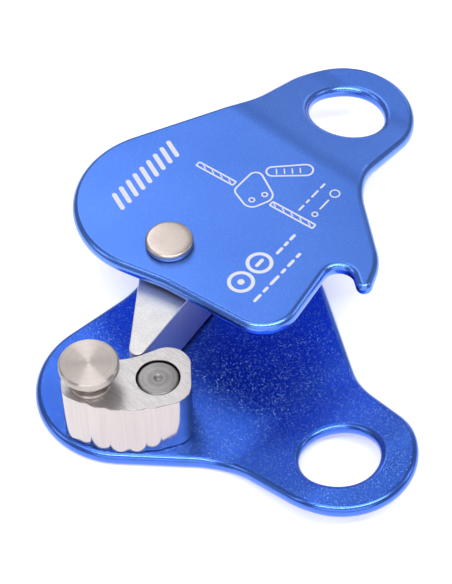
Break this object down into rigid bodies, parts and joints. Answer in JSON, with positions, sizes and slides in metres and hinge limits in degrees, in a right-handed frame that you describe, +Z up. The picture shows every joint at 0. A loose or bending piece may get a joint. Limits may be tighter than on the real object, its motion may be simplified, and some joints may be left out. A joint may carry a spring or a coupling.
{
  "type": "rope grab",
  "caption": "Swing-plate rope grab: jogged cheek plates with connector eyes, a sprung tapered jaw facing a fluted block, and a hook that closes on a headed stud.",
  "frame": {"origin": "on the axis of the main rivet, level with the flat underside of the bottom plate", "axes": "+Z up along the rivet axis; +X to the right and +Y away, seen from the block's side, with the fixed eye at the front right and the swing plate open to the back right"},
  "size_m": [0.0894, 0.1243, 0.0258],
  "materials": {
    "light_blue_anodising": "satin azure anodising with a fine sparkle",
    "deep_blue_anodising": "satin royal blue anodising with a fine sparkle",
    "satin_stainless": "satin, tumbled",
    "turned_stainless": "fine turned face with a bright bevel",
    "dark_steel": "turned, unpolished",
    "spring_wire": "drawn wire",
    "tumbled_aluminium": "fine matt face with a polished bevel",
    "ground_aluminium": "ground top, polished flutes",
    "bearing_bronze": "plain"
  },
  "bodies": {
    "frame": {"bottom_plate": "deep_blue_anodising", "main_rivet": "satin_stainless", "spacer_sleeve": "dark_steel", "lower_thrust_washer": "bearing_bronze", "upper_thrust_washer": "bearing_bronze", "jaw_spring": "spring_wire", "anvil_block": "ground_aluminium", "block_pin": "dark_steel", "catch_stud": "turned_stainless"},
    "swing_plate": {"top_plate": "light_blue_anodising"},
    "jaw": {"pinch_jaw": "tumbled_aluminium"}
  },
  "joints": [
    {"name": "plate_swing", "type": "hinge", "parent": "frame", "child": "swing_plate", "pos_m": [0, 0, 0.02155], "axis": [0, 0, 1], "range_deg": [-99.5, 145]},
    {"name": "jaw_turn", "type": "hinge", "parent": "frame", "child": "jaw", "pos_m": [0, 0, 0.0115], "axis": [0, 0, 1], "range_deg": [-50, 0], "stiffness_Nm_per_rad": 0.04, "springref_deg": 20.05, "deforming": ["jaw_spring"]}
  ]
}
